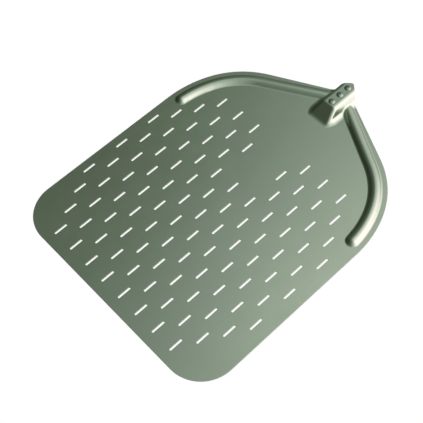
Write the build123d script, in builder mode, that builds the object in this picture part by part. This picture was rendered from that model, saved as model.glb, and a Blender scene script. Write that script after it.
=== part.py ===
"""Perforated pizza peel head: one pressed aluminium blade with a riveted handle socket.

Frame: millimetres, +Z up, +Y towards the handle, +X right. Z = 0 is the flat underside of the
blade, and the origin is under the middle of the head's length and width.
"""

from build123d import *
import math
import os

# Sheet
SHEET = 1.5  # thickness of the pressed aluminium sheet
BLADE_WIDTH = 332.0
HEAD_LENGTH = 425.0  # front edge to the tip of the tongue

# Blade outline
FRONT_CORNER_RADIUS = 48.0
SIDE_END_Y = 37.0  # where the straight sides turn into the shoulders
SHOULDER_RADIUS = 152.0
SHOULDER_ARC = 24.0  # degrees turned by the shoulder radius
REAR_RADIUS = 120.0
REAR_SLOPE = 27.2  # degrees between the straight rear edges and the X axis
TONGUE_NECK_X = 17.5  # half width where the rear edges meet the tongue
TONGUE_TIP_RADIUS = 3.5

# Slots, in staggered rows along Y
SLOT_LENGTH = 18.5
SLOT_WIDTH = 2.7
COLUMN_PITCH = 15.0
ROW_PITCH = 27.0
MIDDLE_ROW_Y = -54.1
PATTERN_X = -3.4  # the slots stand this far off the centre line
# Columns out from the pattern's own centre line for each row, front row first. A row's slots
# stand on every second column, and it has none closer to that line than its first number.
ROWS = (
    (1, 7),
    (0, 8),
    (1, 9),
    (0, 10),
    (1, 9),
    (0, 10),
    (1, 9),
    (0, 10),
    (3, 9),
    (2, 8),
    (3, 7),
)

# Stiffening ribs, pressed upwards along the rear edges
RIB_INSET = 15.0  # centre line of the rib to the edge of the blade
RIB_START = 4.2  # degrees round the shoulder arc to the centre of the rounded end
RIB_SLOPE = 29.5  # degrees between the straight part of the rib and the X axis
RIB_CREST_RADIUS = 8.0  # upper face
RIB_FOOT_RADIUS = 3.5  # upper face
RIB_HALF_WIDTH = 9.5  # centre line to where the foot meets the flat
RIB_BLEND_RADIUS = 3.0  # upper face, where a rib runs into the hood

# Hood, pressed from the same sheet to hold the handle
HOOD_TOP = 17.0
HOOD_CROWN = 6.5  # half width of the flat top
HOOD_SHOULDER_RADIUS = 6.0
HOOD_FLANK = 70.0  # degrees
HOOD_FOOT_RADIUS = 9.0
HOOD_FRONT_Y = 147.5  # where the planes of the front ramp and the blade meet
HOOD_RAMP = 39.0  # degrees
HOOD_HIP_RADIUS = 5.0

# Handle socket, a short flat-oval tube under the hood
SOCKET_WIDTH = 21.8
SOCKET_WALL = 1.5
SOCKET_CORNER_RADIUS = 4.8
SOCKET_FRONT_Y = 168.5
SOCKET_INSET = 1.0  # its rear end stays this far inside the tongue

# Blind rivets through the hood and the socket
RIVET_PITCH = 15.0
RIVET_MIDDLE_Y = 187.4
RIVET_HOLE = 4.9
RIVET_SHANK = 4.8
RIVET_HEAD = 8.9
RIVET_HEAD_HEIGHT = 1.7
RIVET_RIM = 0.35  # upright edge of the head, and the other small steps of the rivet
RIVET_BULB = 6.8
RIVET_BULB_HEIGHT = 4.2
MANDREL = 2.7
MANDREL_HEAD = 4.0
MANDREL_HEAD_HEIGHT = 2.2
MANDREL_PIT = 0.7  # depth of the broken stem below the crown of the head

HALF_WIDTH = BLADE_WIDTH / 2
FRONT_Y = -HEAD_LENGTH / 2
TIP_Y = HEAD_LENGTH / 2
BLOCK = 10.0  # depth of solid kept under a pressed face while it is being shaped
SINK = 0.02  # the tangent feet dip this far into the flat so that faces cross cleanly
CUT = 40.0  # more than any height of the head

os.makedirs("parts", exist_ok=True)


def outline():
    """Right half of the blade's edge, mirrored to the left, as a closed wire."""
    with BuildLine() as edge:
        front = Line((0, FRONT_Y), (HALF_WIDTH - FRONT_CORNER_RADIUS, FRONT_Y))
        corner = JernArc(front @ 1, front % 1, FRONT_CORNER_RADIUS, 90)
        side = Line(corner @ 1, (HALF_WIDTH, SIDE_END_Y))
        shoulder = JernArc(side @ 1, side % 1, SHOULDER_RADIUS, SHOULDER_ARC)
        rear = JernArc(shoulder @ 1, shoulder % 1, REAR_RADIUS, 90 - REAR_SLOPE - SHOULDER_ARC)
        rear_end = rear @ 1
        neck_y = rear_end.Y + (rear_end.X - TONGUE_NECK_X) * math.tan(math.radians(REAR_SLOPE))
        straight = Line(rear_end, (TONGUE_NECK_X, neck_y))
        tip_centre_y = TIP_Y - TONGUE_TIP_RADIUS
        # The tongue's straight edge runs from the neck, tangent to the rounded tip.
        reach = math.hypot(TONGUE_NECK_X, neck_y - tip_centre_y)
        bearing = math.atan2(neck_y - tip_centre_y, TONGUE_NECK_X)
        touch = bearing + math.acos(TONGUE_TIP_RADIUS / reach)
        touch_x = TONGUE_TIP_RADIUS * math.cos(touch)
        touch_y = tip_centre_y + TONGUE_TIP_RADIUS * math.sin(touch)
        tongue = Line(straight @ 1, (touch_x, touch_y))
        middle = touch + (math.pi / 2 - touch) / 2
        ThreePointArc(
            tongue @ 1,
            (
                TONGUE_TIP_RADIUS * math.cos(middle),
                tip_centre_y + TONGUE_TIP_RADIUS * math.sin(middle),
            ),
            (0, TIP_Y),
        )
        mirror(about=Plane.YZ)
    return edge.wires()[0]


def hood_form(skin):
    """The hood under its upper face (skin = SHEET) or under its lower face (skin = 0)."""
    shrink = SHEET - skin
    crown = HOOD_TOP - shrink
    base = skin - SINK
    lean = math.radians(HOOD_FLANK)
    shoulder = HOOD_SHOULDER_RADIUS - shrink
    knee = Vector(HOOD_CROWN + shoulder * math.sin(lean), crown - shoulder * (1 - math.cos(lean)))
    drop = knee.Y + BLOCK
    slope = math.radians(HOOD_RAMP)
    rise = CUT - SHEET
    rear_y = TIP_Y + CUT

    with BuildPart() as core:
        with BuildSketch(Plane.XZ.offset(-rear_y)):
            with BuildLine():
                floor = Line((0, -BLOCK), (knee.X + drop / math.tan(lean), -BLOCK))
                flank = Line(floor @ 1, knee)
                bend = RadiusArc(flank @ 1, (HOOD_CROWN, crown), -shoulder)
                Line(bend @ 1, (0, crown))
                mirror(about=Plane.YZ)
            make_face()
        extrude(amount=rear_y - HOOD_FRONT_Y + CUT)
        # The ramp leaves the flat at HOOD_FRONT_Y on the upper face.
        ramp_y = HOOD_FRONT_Y + shrink / math.sin(slope)
        with BuildSketch(Plane.YZ):
            Polygon(
                (ramp_y - (SHEET + BLOCK) / math.tan(slope), -BLOCK),
                (ramp_y + rise / math.tan(slope), CUT),
                (rear_y + CUT, CUT),
                (rear_y + CUT, -BLOCK),
                align=None,
            )
        extrude(amount=CUT, both=True, mode=Mode.INTERSECT)
        ramp = core.faces().sort_by(Axis.Y)[0]
        hips = ramp.edges().sort_by(Axis.Z)[1:]
        fillet(hips, HOOD_HIP_RADIUS - shrink)

    with BuildPart() as slab:
        with BuildSketch(Plane.XY.offset(-BLOCK)):
            front_y = HOOD_FRONT_Y - CUT
            with Locations((0, (front_y + rear_y) / 2)):
                Rectangle(2 * CUT, rear_y - front_y)
        extrude(amount=BLOCK + base)

    with BuildPart() as form:
        add(core.part)
        add(slab.part)
        joins = new_edges(core.part, slab.part, combined=form.part)
        fillet(joins, HOOD_FOOT_RADIUS + shrink)
        split(bisect_by=Plane.XY.offset(base), keep=Keep.TOP)
    return form.part


def rib_section(skin):
    """Half of the rib's bell-shaped section, out to the right of its centre line, as a sketch."""
    shrink = SHEET - skin
    crest = RIB_CREST_RADIUS - shrink
    foot = RIB_FOOT_RADIUS + shrink
    base = skin - SINK
    lean = math.asin(RIB_HALF_WIDTH / (crest + foot))
    height = (crest + foot) * (1 - math.cos(lean))
    knee = (RIB_HALF_WIDTH - foot * math.sin(lean), base + foot * (1 - math.cos(lean)))
    with BuildSketch(Plane.XY, mode=Mode.PRIVATE) as section:
        with BuildLine():
            bottom = Line((0, base), (RIB_HALF_WIDTH, base))
            ankle = RadiusArc(bottom @ 1, knee, foot)
            crown = RadiusArc(ankle @ 1, (0, base + height), -crest)
            Line(crown @ 1, (0, base))
        make_face()
    return section.sketch


def rib_form(skin):
    """The right-hand rib under its upper face (skin = SHEET) or its lower face (skin = 0)."""
    angle = math.radians(RIB_START)
    radius = SHOULDER_RADIUS - RIB_INSET
    outward = Vector(math.cos(angle), math.sin(angle), 0)
    along = Vector(-math.sin(angle), math.cos(angle), 0)
    start = Vector(HALF_WIDTH - SHOULDER_RADIUS, SIDE_END_Y, 0) + outward * radius
    half = rib_section(skin)

    with BuildPart() as form:
        with BuildLine() as path:
            shoulder = JernArc(start, along, radius, SHOULDER_ARC - RIB_START)
            turn = 90 - RIB_SLOPE - SHOULDER_ARC
            rear = JernArc(shoulder @ 1, shoulder % 1, REAR_RADIUS - RIB_INSET, turn)
            reach = (rear @ 1).X - HOOD_CROWN
            Line(rear @ 1, rear @ 1 + (rear % 1) * (reach / math.cos(math.radians(RIB_SLOPE))))
        with BuildSketch(Plane(start, x_dir=outward, z_dir=-along)):
            add(half)
            mirror(about=Plane.YZ)
        sweep(path=path.wires()[0])
        with BuildSketch(Plane(start, x_dir=outward, z_dir=-along)):
            add(half)
        revolve(axis=Axis(start, (0, 0, -1)), revolution_arc=180)
    return form.part


def pressed_form(skin):
    """Everything under one face of the pressed sheet, before it is cut to the outline."""
    hood = hood_form(skin)
    right_rib = rib_form(skin)
    left_rib = mirror(right_rib, about=Plane.YZ)
    with BuildPart() as form:
        add(right_rib)
        add(left_rib)
        add(hood)
        joins = new_edges(hood, right_rib, left_rib, combined=form.part)
        fillet(joins, RIB_BLEND_RADIUS + SHEET - skin)
        with BuildSketch(Plane.XY.offset(-BLOCK)):
            Rectangle(BLADE_WIDTH + CUT, HEAD_LENGTH + 2 * CUT)
        extrude(amount=BLOCK + skin)
    return form.part


blade_edge = outline()
upper_form = pressed_form(SHEET)
lower_form = pressed_form(0)

with BuildPart() as blade:
    add(upper_form)
    add(lower_form, mode=Mode.SUBTRACT)
    with BuildSketch(Plane.XY.offset(-BLOCK)):
        make_face(blade_edge)
    extrude(amount=BLOCK + CUT, mode=Mode.INTERSECT)
    with BuildSketch(Plane.XY.offset(-BLOCK)):
        for row, (first, last) in enumerate(ROWS):
            y = MIDDLE_ROW_Y + (row - len(ROWS) // 2) * ROW_PITCH
            for column in range(first, last + 1, 2):
                sides = (column, -column) if column else (0,)
                with Locations(*[(PATTERN_X + side * COLUMN_PITCH, y) for side in sides]):
                    SlotOverall(SLOT_LENGTH, SLOT_WIDTH, rotation=90)
    extrude(amount=BLOCK + CUT, mode=Mode.SUBTRACT)
    with BuildSketch(Plane.XY.offset(HOOD_TOP)):
        with Locations((0, RIVET_MIDDLE_Y)):
            with GridLocations(1, RIVET_PITCH, 1, 3):
                Circle(RIVET_HOLE / 2)
    extrude(amount=-HOOD_TOP, mode=Mode.SUBTRACT)
blade.part.label = "blade"
export_step(blade.part, "parts/blade.step")

with BuildPart() as handle_socket:
    socket_height = HOOD_TOP - SHEET
    with BuildSketch(Plane.XZ.offset(-SOCKET_FRONT_Y)):
        with Locations((0, socket_height / 2)):
            RectangleRounded(SOCKET_WIDTH, socket_height, SOCKET_CORNER_RADIUS)
        offset(amount=-SOCKET_WALL, mode=Mode.SUBTRACT)
    extrude(amount=-(TIP_Y - SOCKET_FRONT_Y))
    with BuildSketch(Plane.XY.offset(-BLOCK)):
        make_face(blade_edge)
        offset(amount=-SOCKET_INSET, mode=Mode.REPLACE)
    extrude(amount=BLOCK + CUT, mode=Mode.INTERSECT)
    with BuildSketch(Plane.XY.offset(HOOD_TOP)):
        with Locations((0, RIVET_MIDDLE_Y)):
            with GridLocations(1, RIVET_PITCH, 1, 3):
                Circle(RIVET_HOLE / 2)
    extrude(amount=-HOOD_TOP / 2, mode=Mode.SUBTRACT)
handle_socket.part.label = "handle_socket"
export_step(handle_socket.part, "parts/handle_socket.step")


def rivet_body_section():
    """Right half of a set blind rivet: domed head, shank and the bulb behind the socket wall."""
    head_r = RIVET_HEAD / 2
    shank_r = RIVET_SHANK / 2
    bulb_r = RIVET_BULB / 2
    bore_r = MANDREL / 2
    pocket_r = MANDREL_HEAD / 2
    cap = RIVET_HEAD_HEIGHT - RIVET_RIM
    dome_r = (head_r**2 + cap**2) / (2 * cap)
    dome_z = HOOD_TOP + RIVET_HEAD_HEIGHT - dome_r
    seat = HOOD_TOP - SHEET - SOCKET_WALL
    tail = seat - RIVET_BULB_HEIGHT
    with BuildSketch(Plane.XY, mode=Mode.PRIVATE) as section:
        with BuildLine():
            bore_top = (bore_r, dome_z + math.sqrt(dome_r**2 - bore_r**2))
            dome = RadiusArc(bore_top, (head_r, HOOD_TOP + RIVET_RIM), dome_r)
            Polyline(dome @ 1, (head_r, HOOD_TOP), (shank_r, HOOD_TOP), (shank_r, seat))
            shoulder = Line((shank_r, seat), (bulb_r - RIVET_RIM, seat))
            bulb = ThreePointArc(
                shoulder @ 1, (bulb_r, seat - RIVET_BULB_HEIGHT / 3), (shank_r + RIVET_RIM, tail)
            )
            Polyline(
                bulb @ 1,
                (pocket_r, tail),
                (pocket_r, tail + MANDREL_HEAD_HEIGHT),
                (bore_r, tail + MANDREL_HEAD_HEIGHT),
                bore_top,
            )
        make_face()
    return section.sketch


def mandrel_section():
    """Right half of the mandrel left in a set rivet: snapped stem and rounded head."""
    stem_r = MANDREL / 2
    head_r = MANDREL_HEAD / 2
    snapped = HOOD_TOP + RIVET_HEAD_HEIGHT - MANDREL_PIT
    tail = HOOD_TOP - SHEET - SOCKET_WALL - RIVET_BULB_HEIGHT
    nose_drop = MANDREL_HEAD_HEIGHT / 3
    nose_r = (head_r**2 + nose_drop**2) / (2 * nose_drop)
    with BuildSketch(Plane.XY, mode=Mode.PRIVATE) as section:
        with BuildLine():
            Polyline(
                (0, snapped),
                (stem_r, snapped),
                (stem_r, tail + MANDREL_HEAD_HEIGHT),
                (head_r, tail + MANDREL_HEAD_HEIGHT),
                (head_r, tail),
            )
            nose = RadiusArc((head_r, tail), (0, tail - nose_drop), nose_r)
            Line(nose @ 1, (0, snapped))
        make_face()
    return section.sketch


rivet_rows = [RIVET_MIDDLE_Y + step * RIVET_PITCH for step in (-1, 0, 1)]
rivet_half = rivet_body_section()
mandrel_half = mandrel_section()

with BuildPart() as rivet_bodies:
    for y in rivet_rows:
        with BuildSketch(Plane.XZ.offset(-y)):
            add(rivet_half)
        revolve(axis=Axis((0, y, 0), (0, 0, 1)))
rivet_bodies.part.label = "rivet_bodies"
export_step(rivet_bodies.part, "parts/rivet_bodies.step")

with BuildPart() as rivet_mandrels:
    for y in rivet_rows:
        with BuildSketch(Plane.XZ.offset(-y)):
            add(mandrel_half)
        revolve(axis=Axis((0, y, 0), (0, 0, 1)))
rivet_mandrels.part.label = "rivet_mandrels"
export_step(rivet_mandrels.part, "parts/rivet_mandrels.step")
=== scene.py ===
"""Studio scene for the perforated pizza peel head: materials, floor, light and camera."""

import math

import bpy
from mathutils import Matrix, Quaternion, Vector


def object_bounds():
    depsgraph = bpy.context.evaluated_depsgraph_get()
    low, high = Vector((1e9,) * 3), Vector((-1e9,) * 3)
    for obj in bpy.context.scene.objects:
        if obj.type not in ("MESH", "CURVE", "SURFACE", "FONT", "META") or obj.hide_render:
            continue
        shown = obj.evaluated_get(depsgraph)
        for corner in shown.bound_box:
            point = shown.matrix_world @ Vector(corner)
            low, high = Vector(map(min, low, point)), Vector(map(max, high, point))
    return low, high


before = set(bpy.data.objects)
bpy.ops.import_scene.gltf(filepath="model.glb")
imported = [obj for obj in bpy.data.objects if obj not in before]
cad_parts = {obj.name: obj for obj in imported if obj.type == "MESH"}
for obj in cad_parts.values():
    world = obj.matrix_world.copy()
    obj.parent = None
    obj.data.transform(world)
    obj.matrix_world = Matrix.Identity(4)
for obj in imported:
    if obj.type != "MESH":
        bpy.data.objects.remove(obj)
cad_low, cad_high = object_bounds()

MM = 0.001

# Camera, in metres and degrees
CAMERA_PLACE = Vector((0.4357, -0.3729, 0.9045))
CAMERA_TARGET = Vector((0.0026, -0.0422, 0.0))
CAMERA_ROLL = 6.64
CAMERA_LENS = 73.9  # millimetres, like the sensor
CAMERA_SENSOR = 36.0

# Colours, linear
ANODISED = (0.37, 0.46, 0.36)
RIVET_STEEL = (0.27, 0.35, 0.28)
MANDREL_STEEL = (0.20, 0.24, 0.19)
SOCKET_ALUMINIUM = (0.50, 0.52, 0.49)

# Surface roughness, lowest and highest where it varies
ANODISED_ROUGHNESS = (0.20, 0.24)
GRAIN_ROUGHNESS = 0.02  # added and taken away by the blasted grain
RIVET_ROUGHNESS = 0.09
MANDREL_ROUGHNESS = 0.45
SOCKET_ROUGHNESS = (0.30, 0.42)

# Edges as the light sees them, rounded by these radii in metres
SHEET_EDGE = 0.4 * MM
RIVET_EDGE = 0.12 * MM
SOCKET_EDGE = 0.25 * MM
EDGE_SAMPLES = 6

# Studio light. The logarithm of its radiance in the direction d is
# LEVEL + LEAN . d + CURVE . d*d + d.z * (TWIST . d): a large soft source low on the +X side,
# falling away smoothly overhead and to the dark -X side and front. The sky that the flat
# blade mirrors to the camera is a panel where PANEL_LEAN . (d - its middle) is added, fading
# out around it. These constants were fitted to the shading of the real sheet.
LIGHT_LEVEL = -0.48
LIGHT_LEAN = (1.63, 0.81, 0.10)
LIGHT_CURVE = (-0.52, -0.41, 0.0)
LIGHT_TWIST = (-0.03, 0.47, 0.0)
PANEL_BEARING = 142.4  # degrees from +X towards +Y
PANEL_HEIGHT = 59.7
PANEL_LEAN = (5.5, 0.15, 0.8)
PANEL_SHARPNESS = 45.0
# Its colour at a few radiances: green where it is dim, warm white where it is bright
LIGHT_HUES = ((0.0, (0.70, 0.80, 0.56)), (0.5, (0.75, 0.80, 0.76)), (1.8, (1.0, 0.80, 0.88)))
LIGHT_HUE_GAIN = 1.25
FLOOR_GAP = 0.5 * MM
FLOOR_SIZE = 40.0


def new_material(name):
    """Empty node material with an output and a principled shader, and helpers to add nodes."""
    material = bpy.data.materials.new(name)
    material.use_nodes = True
    tree = material.node_tree
    tree.nodes.clear()
    output = tree.nodes.new("ShaderNodeOutputMaterial")
    shader = tree.nodes.new("ShaderNodeBsdfPrincipled")
    tree.links.new(shader.outputs["BSDF"], output.inputs["Surface"])
    return material, tree, shader


def noise(tree, scale, detail=2.0, stretch=(1.0, 1.0, 1.0), roughness=0.5):
    """Noise over object space, in features per metre, stretched along the axes."""
    place = tree.nodes.new("ShaderNodeTexCoord")
    mapping = tree.nodes.new("ShaderNodeMapping")
    mapping.inputs["Scale"].default_value = [scale * s for s in stretch]
    tree.links.new(place.outputs["Object"], mapping.inputs["Vector"])
    texture = tree.nodes.new("ShaderNodeTexNoise")
    texture.inputs["Scale"].default_value = 1.0
    texture.inputs["Detail"].default_value = detail
    texture.inputs["Roughness"].default_value = roughness
    tree.links.new(mapping.outputs["Vector"], texture.inputs["Vector"])
    return texture.outputs["Fac"]


def remap(tree, value, low, high, from_low=0.3, from_high=0.7):
    """Maps a noise value to low..high."""
    node = tree.nodes.new("ShaderNodeMapRange")
    node.inputs["From Min"].default_value = from_low
    node.inputs["From Max"].default_value = from_high
    node.inputs["To Min"].default_value = low
    node.inputs["To Max"].default_value = high
    tree.links.new(value, node.inputs["Value"])
    return node.outputs["Result"]


def maths(tree, operation, a, b):
    """One maths node; a and b are sockets or numbers."""
    node = tree.nodes.new("ShaderNodeMath")
    node.operation = operation
    for socket, value in zip(node.inputs, (a, b)):
        if isinstance(value, (int, float)):
            socket.default_value = value
        else:
            tree.links.new(value, socket)
    return node.outputs["Value"]


def vector_maths(tree, operation, a, b):
    """One vector maths node; a and b are sockets or triples of numbers."""
    node = tree.nodes.new("ShaderNodeVectorMath")
    node.operation = operation
    for socket, value in zip(node.inputs, (a, b)):
        if isinstance(value, tuple):
            socket.default_value = value
        else:
            tree.links.new(value, socket)
    return node


def tint(tree, colour, factor):
    """The colour multiplied by a varying factor."""
    node = tree.nodes.new("ShaderNodeVectorMath")
    node.operation = "SCALE"
    node.inputs[0].default_value = colour
    tree.links.new(factor, node.inputs["Scale"])
    return node.outputs["Vector"]


def bumps(tree, shader, layers, edge_radius):
    """Chains bump layers, each (height socket, distance in metres), over rounded edges."""
    rounded = tree.nodes.new("ShaderNodeBevel")
    rounded.samples = EDGE_SAMPLES
    rounded.inputs["Radius"].default_value = edge_radius
    normal = rounded.outputs["Normal"]
    for height, distance in layers:
        bump = tree.nodes.new("ShaderNodeBump")
        bump.inputs["Strength"].default_value = 1.0
        bump.inputs["Distance"].default_value = distance
        tree.links.new(height, bump.inputs["Height"])
        tree.links.new(normal, bump.inputs["Normal"])
        normal = bump.outputs["Normal"]
    tree.links.new(normal, shader.inputs["Normal"])


def anodised_sheet():
    """Bead-blasted, anodised sheet with faint rolling lines and handling marks."""
    material, tree, shader = new_material("anodised_sheet")
    grain = noise(tree, 2200.0, detail=3.0)
    clouds = noise(tree, 9.0, detail=3.0)
    rolling = noise(tree, 900.0, detail=2.0, stretch=(1.0, 0.02, 1.0))
    smudges = noise(tree, 30.0, detail=4.0, roughness=0.6)
    cloudy = remap(tree, clouds, 0.97, 1.03)
    lined = remap(tree, rolling, 0.985, 1.015)
    shade = maths(tree, "MULTIPLY", cloudy, lined)
    shader.inputs["Metallic"].default_value = 1.0
    tree.links.new(tint(tree, ANODISED, shade), shader.inputs["Base Color"])
    smudged = remap(tree, smudges, *ANODISED_ROUGHNESS)
    grained = remap(tree, grain, -GRAIN_ROUGHNESS, GRAIN_ROUGHNESS)
    rough = maths(tree, "ADD", smudged, grained)
    tree.links.new(rough, shader.inputs["Roughness"])
    bumps(tree, shader, ((grain, 0.006 * MM), (rolling, 0.003 * MM)), SHEET_EDGE)
    return material


def polished_steel(name, colour, roughness):
    """Steel of a rivet, with fine scratches."""
    material, tree, shader = new_material(name)
    scratches = noise(tree, 6000.0, detail=3.0, stretch=(1.0, 0.15, 1.0))
    patches = noise(tree, 700.0, detail=2.0)
    shader.inputs["Metallic"].default_value = 1.0
    tree.links.new(tint(tree, colour, remap(tree, patches, 0.88, 1.08)), shader.inputs["Base Color"])
    tree.links.new(remap(tree, scratches, roughness * 0.8, roughness * 1.25), shader.inputs["Roughness"])
    bumps(tree, shader, ((scratches, 0.003 * MM),), RIVET_EDGE)
    return material


def extruded_tube():
    """Plain extruded aluminium with die lines along the handle."""
    material, tree, shader = new_material("extruded_tube")
    lines = noise(tree, 2500.0, detail=3.0, stretch=(1.0, 0.01, 1.0))
    oxide = noise(tree, 60.0, detail=4.0)
    shader.inputs["Metallic"].default_value = 1.0
    colour = tint(tree, SOCKET_ALUMINIUM, remap(tree, oxide, 0.9, 1.05))
    tree.links.new(colour, shader.inputs["Base Color"])
    tree.links.new(remap(tree, lines, *SOCKET_ROUGHNESS), shader.inputs["Roughness"])
    bumps(tree, shader, ((lines, 0.006 * MM),), SOCKET_EDGE)
    return material


def dress(node, material):
    """Gives a CAD node its material in place of the imported one."""
    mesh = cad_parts[node].data
    mesh.materials.clear()
    mesh.materials.append(material)


def studio_light():
    """White to the camera; a smooth side light to everything else."""
    world = bpy.data.worlds.new("studio")
    bpy.context.scene.world = world
    world.use_nodes = True
    tree = world.node_tree
    tree.nodes.clear()
    output = tree.nodes.new("ShaderNodeOutputWorld")
    mix = tree.nodes.new("ShaderNodeMixShader")
    seen = tree.nodes.new("ShaderNodeBackground")
    lit = tree.nodes.new("ShaderNodeBackground")
    rays = tree.nodes.new("ShaderNodeLightPath")
    place = tree.nodes.new("ShaderNodeTexCoord")
    direction = place.outputs["Generated"]
    squares = vector_maths(tree, "MULTIPLY", direction, direction).outputs["Vector"]
    lean = vector_maths(tree, "DOT_PRODUCT", direction, LIGHT_LEAN).outputs["Value"]
    curve = vector_maths(tree, "DOT_PRODUCT", squares, LIGHT_CURVE).outputs["Value"]
    twist = vector_maths(tree, "DOT_PRODUCT", direction, LIGHT_TWIST).outputs["Value"]
    height = vector_maths(tree, "DOT_PRODUCT", direction, (0.0, 0.0, 1.0)).outputs["Value"]
    twisted = maths(tree, "MULTIPLY", height, twist)
    level = maths(tree, "ADD", maths(tree, "ADD", lean, curve), twisted)
    bearing = math.radians(PANEL_BEARING)
    climb = math.radians(PANEL_HEIGHT)
    middle = (math.cos(bearing) * math.cos(climb), math.sin(bearing) * math.cos(climb), math.sin(climb))
    facing = vector_maths(tree, "DOT_PRODUCT", direction, middle).outputs["Value"]
    away = maths(tree, "MULTIPLY", maths(tree, "SUBTRACT", facing, 1.0), PANEL_SHARPNESS)
    offset = vector_maths(tree, "SUBTRACT", direction, middle).outputs["Vector"]
    slope = vector_maths(tree, "DOT_PRODUCT", offset, PANEL_LEAN).outputs["Value"]
    panel = maths(tree, "MULTIPLY", maths(tree, "EXPONENT", away, 0.0), slope)
    whole = maths(tree, "ADD", maths(tree, "ADD", level, LIGHT_LEVEL), panel)
    radiance = maths(tree, "EXPONENT", whole, 0.0)
    brightest = LIGHT_HUES[-1][0]
    hue = tree.nodes.new("ShaderNodeValToRGB")
    hue.color_ramp.elements.new(0.5)
    for stop, (at, colour) in zip(hue.color_ramp.elements, LIGHT_HUES):
        stop.position = at / brightest
        stop.color = (*colour, 1.0)
    tree.links.new(maths(tree, "DIVIDE", radiance, brightest), hue.inputs["Fac"])
    tree.links.new(hue.outputs["Color"], lit.inputs["Color"])
    tree.links.new(maths(tree, "MULTIPLY", radiance, LIGHT_HUE_GAIN), lit.inputs["Strength"])
    seen.inputs["Color"].default_value = (1.0, 1.0, 1.0, 1.0)
    tree.links.new(rays.outputs["Is Camera Ray"], mix.inputs["Fac"])
    tree.links.new(lit.outputs["Background"], mix.inputs[1])
    tree.links.new(seen.outputs["Background"], mix.inputs[2])
    tree.links.new(mix.outputs["Shader"], output.inputs["Surface"])


def pale_floor():
    """Lit white table under the peel, seen only directly, so it doesn't change the light."""
    half = FLOOR_SIZE / 2
    z = cad_low.z - FLOOR_GAP
    mesh = bpy.data.meshes.new("floor")
    corners = [(-half, -half, z), (half, -half, z), (half, half, z), (-half, half, z)]
    mesh.from_pydata(corners, [], [(0, 1, 2, 3)])
    floor = bpy.data.objects.new("floor", mesh)
    bpy.context.scene.collection.objects.link(floor)
    material = bpy.data.materials.new("light_table")
    material.use_nodes = True
    tree = material.node_tree
    tree.nodes.clear()
    output = tree.nodes.new("ShaderNodeOutputMaterial")
    glow = tree.nodes.new("ShaderNodeEmission")
    tree.links.new(glow.outputs["Emission"], output.inputs["Surface"])
    mesh.materials.append(material)
    floor.visible_diffuse = False
    floor.visible_glossy = False
    floor.visible_shadow = False
    floor.visible_transmission = False


def photo_camera():
    """Camera above the front right, rolled a little."""
    data = bpy.data.cameras.new("camera")
    data.lens = CAMERA_LENS
    data.sensor_width = CAMERA_SENSOR
    camera = bpy.data.objects.new("camera", data)
    bpy.context.scene.collection.objects.link(camera)
    aim = (CAMERA_TARGET - CAMERA_PLACE).to_track_quat("-Z", "Y")
    roll = Quaternion((0.0, 0.0, 1.0), math.radians(-CAMERA_ROLL))
    camera.rotation_mode = "QUATERNION"
    camera.location = CAMERA_PLACE
    camera.rotation_quaternion = aim @ roll
    bpy.context.scene.camera = camera


dress("blade", anodised_sheet())
dress("handle_socket", extruded_tube())
dress("rivet_bodies", polished_steel("rivet_steel", RIVET_STEEL, RIVET_ROUGHNESS))
dress("rivet_mandrels", polished_steel("mandrel_steel", MANDREL_STEEL, MANDREL_ROUGHNESS))
studio_light()
pale_floor()
photo_camera()
bpy.context.scene.view_settings.view_transform = "Standard"
